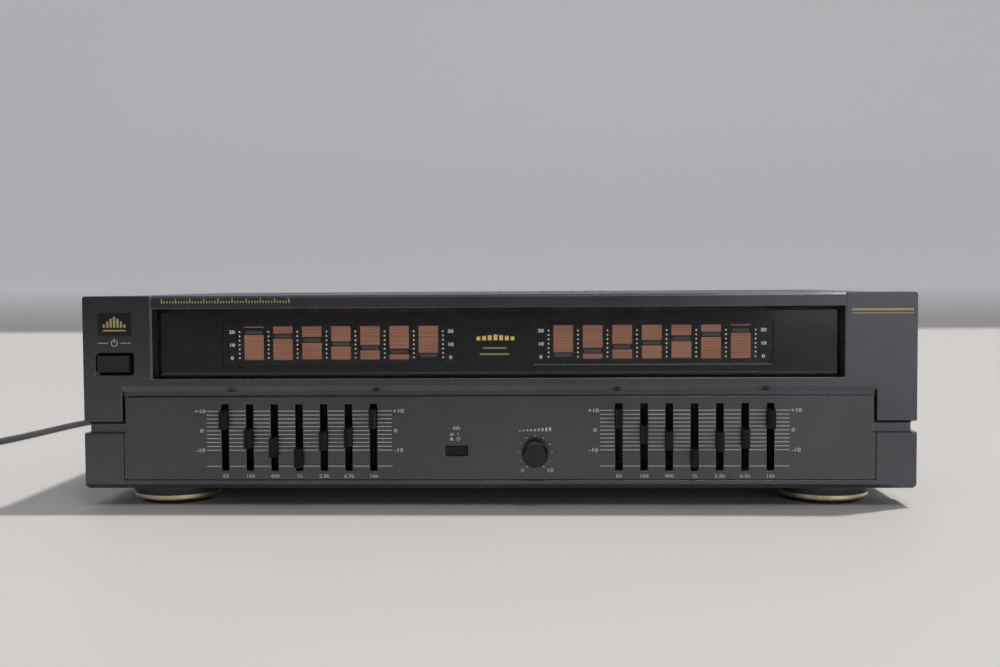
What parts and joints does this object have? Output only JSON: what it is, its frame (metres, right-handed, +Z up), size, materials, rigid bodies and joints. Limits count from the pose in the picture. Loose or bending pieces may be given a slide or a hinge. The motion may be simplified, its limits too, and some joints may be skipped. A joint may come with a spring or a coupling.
{
  "type": "graphic equalizer",
  "caption": "Full-width hi-fi graphic equalizer: slider banks, level knob, push buttons and a display window in a flat metal case on round ringed feet, with its mains lead.",
  "frame": {"origin": "middle of the case's footprint, on the surface that the feet stand on", "axes": "+X to the right as seen from the front, +Y from the front towards the rear panel, +Z up"},
  "size_m": [0.7187, 0.4173, 0.11],
  "materials": {
    "bezel_plastic": "satin metallic grey",
    "smoked_pane": "gloss smoked",
    "badge_gloss": "gloss",
    "painted_cover": "semi-gloss paint",
    "zinc_steel": "zinc plated",
    "painted_rear": "matt paint",
    "black_screw": "blackened",
    "foot_plastic": "satin",
    "gold_ring": "polished",
    "pad_rubber": "matt",
    "bright_screw": "plated",
    "control_plastic": "satin",
    "white_plastic": "satin",
    "switch_plastic": "matt",
    "knob_plastic": "satin",
    "bright_steel": "bright",
    "slide_metal": "plated",
    "slider_plastic": "satin",
    "brown_board": "paper laminate",
    "tube_glass": "gloss",
    "brass_post": "turned",
    "capacitor_sleeve": "shrink sleeve",
    "chip_black": "matt",
    "raw_aluminium": "mill",
    "fuse_glass": "gloss",
    "grey_cable": "satin",
    "core_iron": "varnished laminations",
    "winding_tape": "polyester tape",
    "cord_pvc": "satin",
    "plug_pvc": "satin",
    "pin_brass": "nickel plated"
  },
  "bodies": {
    "case": {"badge_plate": "badge_gloss", "base_tray": "zinc_steel", "board_screws": "bright_screw", "board_standoffs": "brass_post", "capacitors": "capacitor_sleeve", "coil_tie": "white_plastic", "control_board": "brown_board", "control_panel": "bezel_plastic", "cord_coil": "cord_pvc", "cover_screws": "black_screw", "display_board": "brown_board", "display_tubes": "tube_glass", "display_window": "smoked_pane", "eq_switch": "switch_plastic", "foot_bodies": "foot_plastic", "foot_pads": "pad_rubber", "foot_rings": "gold_ring", "foot_screws": "bright_screw", "front_bezel": "bezel_plastic", "fuse": "fuse_glass", "fuse_holder": "switch_plastic", "heat_sink": "raw_aluminium", "ic_packages": "chip_black", "jack_blocks": "switch_plastic", "jack_shells": "bright_steel", "level_pot": "bright_steel", "main_board": "brown_board", "mains_cord": "cord_pvc", "mains_plug": "plug_pvc", "plug_pins": "pin_brass", "power_switch": "switch_plastic", "rear_panel": "painted_rear", "ribbon_cables": "grey_cable", "slide_controls": "slide_metal", "strain_relief": "cord_pvc", "switch_bracket": "zinc_steel", "top_cover": "painted_cover", "transformer_bracket": "zinc_steel", "transformer_core": "core_iron", "transformer_winding": "winding_tape"},
    "power_button": {"power_button": "control_plastic", "power_push_rod": "white_plastic"},
    "eq_button": {"eq_button": "control_plastic"},
    "level_knob": {"level_knob": "knob_plastic", "level_shaft": "bright_steel"},
    "slider_left_63hz": {"slider_left_63hz": "slider_plastic"},
    "slider_left_160hz": {"slider_left_160hz": "slider_plastic"},
    "slider_left_400hz": {"slider_left_400hz": "slider_plastic"},
    "slider_left_1khz": {"slider_left_1khz": "slider_plastic"},
    "slider_left_2k5hz": {"slider_left_2k5hz": "slider_plastic"},
    "slider_left_6k3hz": {"slider_left_6k3hz": "slider_plastic"},
    "slider_left_16khz": {"slider_left_16khz": "slider_plastic"},
    "slider_right_63hz": {"slider_right_63hz": "slider_plastic"},
    "slider_right_160hz": {"slider_right_160hz": "slider_plastic"},
    "slider_right_400hz": {"slider_right_400hz": "slider_plastic"},
    "slider_right_1khz": {"slider_right_1khz": "slider_plastic"},
    "slider_right_2k5hz": {"slider_right_2k5hz": "slider_plastic"},
    "slider_right_6k3hz": {"slider_right_6k3hz": "slider_plastic"},
    "slider_right_16khz": {"slider_right_16khz": "slider_plastic"}
  },
  "joints": [
    {"name": "power_press", "type": "slide", "parent": "case", "child": "power_button", "axis": [0, 1, 0], "range_m": [0, 0.004], "stiffness_N_per_m": 250, "springref_m": -0.004},
    {"name": "eq_press", "type": "slide", "parent": "case", "child": "eq_button", "axis": [0, 1, 0], "range_m": [0, 0.003], "stiffness_N_per_m": 200, "springref_m": -0.003},
    {"name": "level_turn", "type": "hinge", "parent": "case", "child": "level_knob", "pos_m": [0.02035, -0.1322, 0.0282], "axis": [0, 1, 0], "range_deg": [-150, 150]},
    {"name": "slide_left_63hz", "type": "slide", "parent": "case", "child": "slider_left_63hz", "axis": [0, 0, 1], "range_m": [-0.0199, 0.0005]},
    {"name": "slide_left_160hz", "type": "slide", "parent": "case", "child": "slider_left_160hz", "axis": [0, 0, 1], "range_m": [-0.0102, 0.0102]},
    {"name": "slide_left_400hz", "type": "slide", "parent": "case", "child": "slider_left_400hz", "axis": [0, 0, 1], "range_m": [-0.0057, 0.0147]},
    {"name": "slide_left_1khz", "type": "slide", "parent": "case", "child": "slider_left_1khz", "axis": [0, 0, 1], "range_m": [-0.0002, 0.0202]},
    {"name": "slide_left_2k5hz", "type": "slide", "parent": "case", "child": "slider_left_2k5hz", "axis": [0, 0, 1], "range_m": [-0.0091, 0.0113]},
    {"name": "slide_left_6k3hz", "type": "slide", "parent": "case", "child": "slider_left_6k3hz", "axis": [0, 0, 1], "range_m": [-0.0109, 0.0095]},
    {"name": "slide_left_16khz", "type": "slide", "parent": "case", "child": "slider_left_16khz", "axis": [0, 0, 1], "range_m": [-0.0204, 0]},
    {"name": "slide_right_63hz", "type": "slide", "parent": "case", "child": "slider_right_63hz", "axis": [0, 0, 1], "range_m": [-0.0204, 0]},
    {"name": "slide_right_160hz", "type": "slide", "parent": "case", "child": "slider_right_160hz", "axis": [0, 0, 1], "range_m": [-0.0123, 0.0081]},
    {"name": "slide_right_400hz", "type": "slide", "parent": "case", "child": "slider_right_400hz", "axis": [0, 0, 1], "range_m": [-0.0092, 0.0112]},
    {"name": "slide_right_1khz", "type": "slide", "parent": "case", "child": "slider_right_1khz", "axis": [0, 0, 1], "range_m": [0, 0.0204]},
    {"name": "slide_right_2k5hz", "type": "slide", "parent": "case", "child": "slider_right_2k5hz", "axis": [0, 0, 1], "range_m": [-0.0085, 0.0119]},
    {"name": "slide_right_6k3hz", "type": "slide", "parent": "case", "child": "slider_right_6k3hz", "axis": [0, 0, 1], "range_m": [-0.0102, 0.0102]},
    {"name": "slide_right_16khz", "type": "slide", "parent": "case", "child": "slider_right_16khz", "axis": [0, 0, 1], "range_m": [-0.02, 0.0004]}
  ]
}
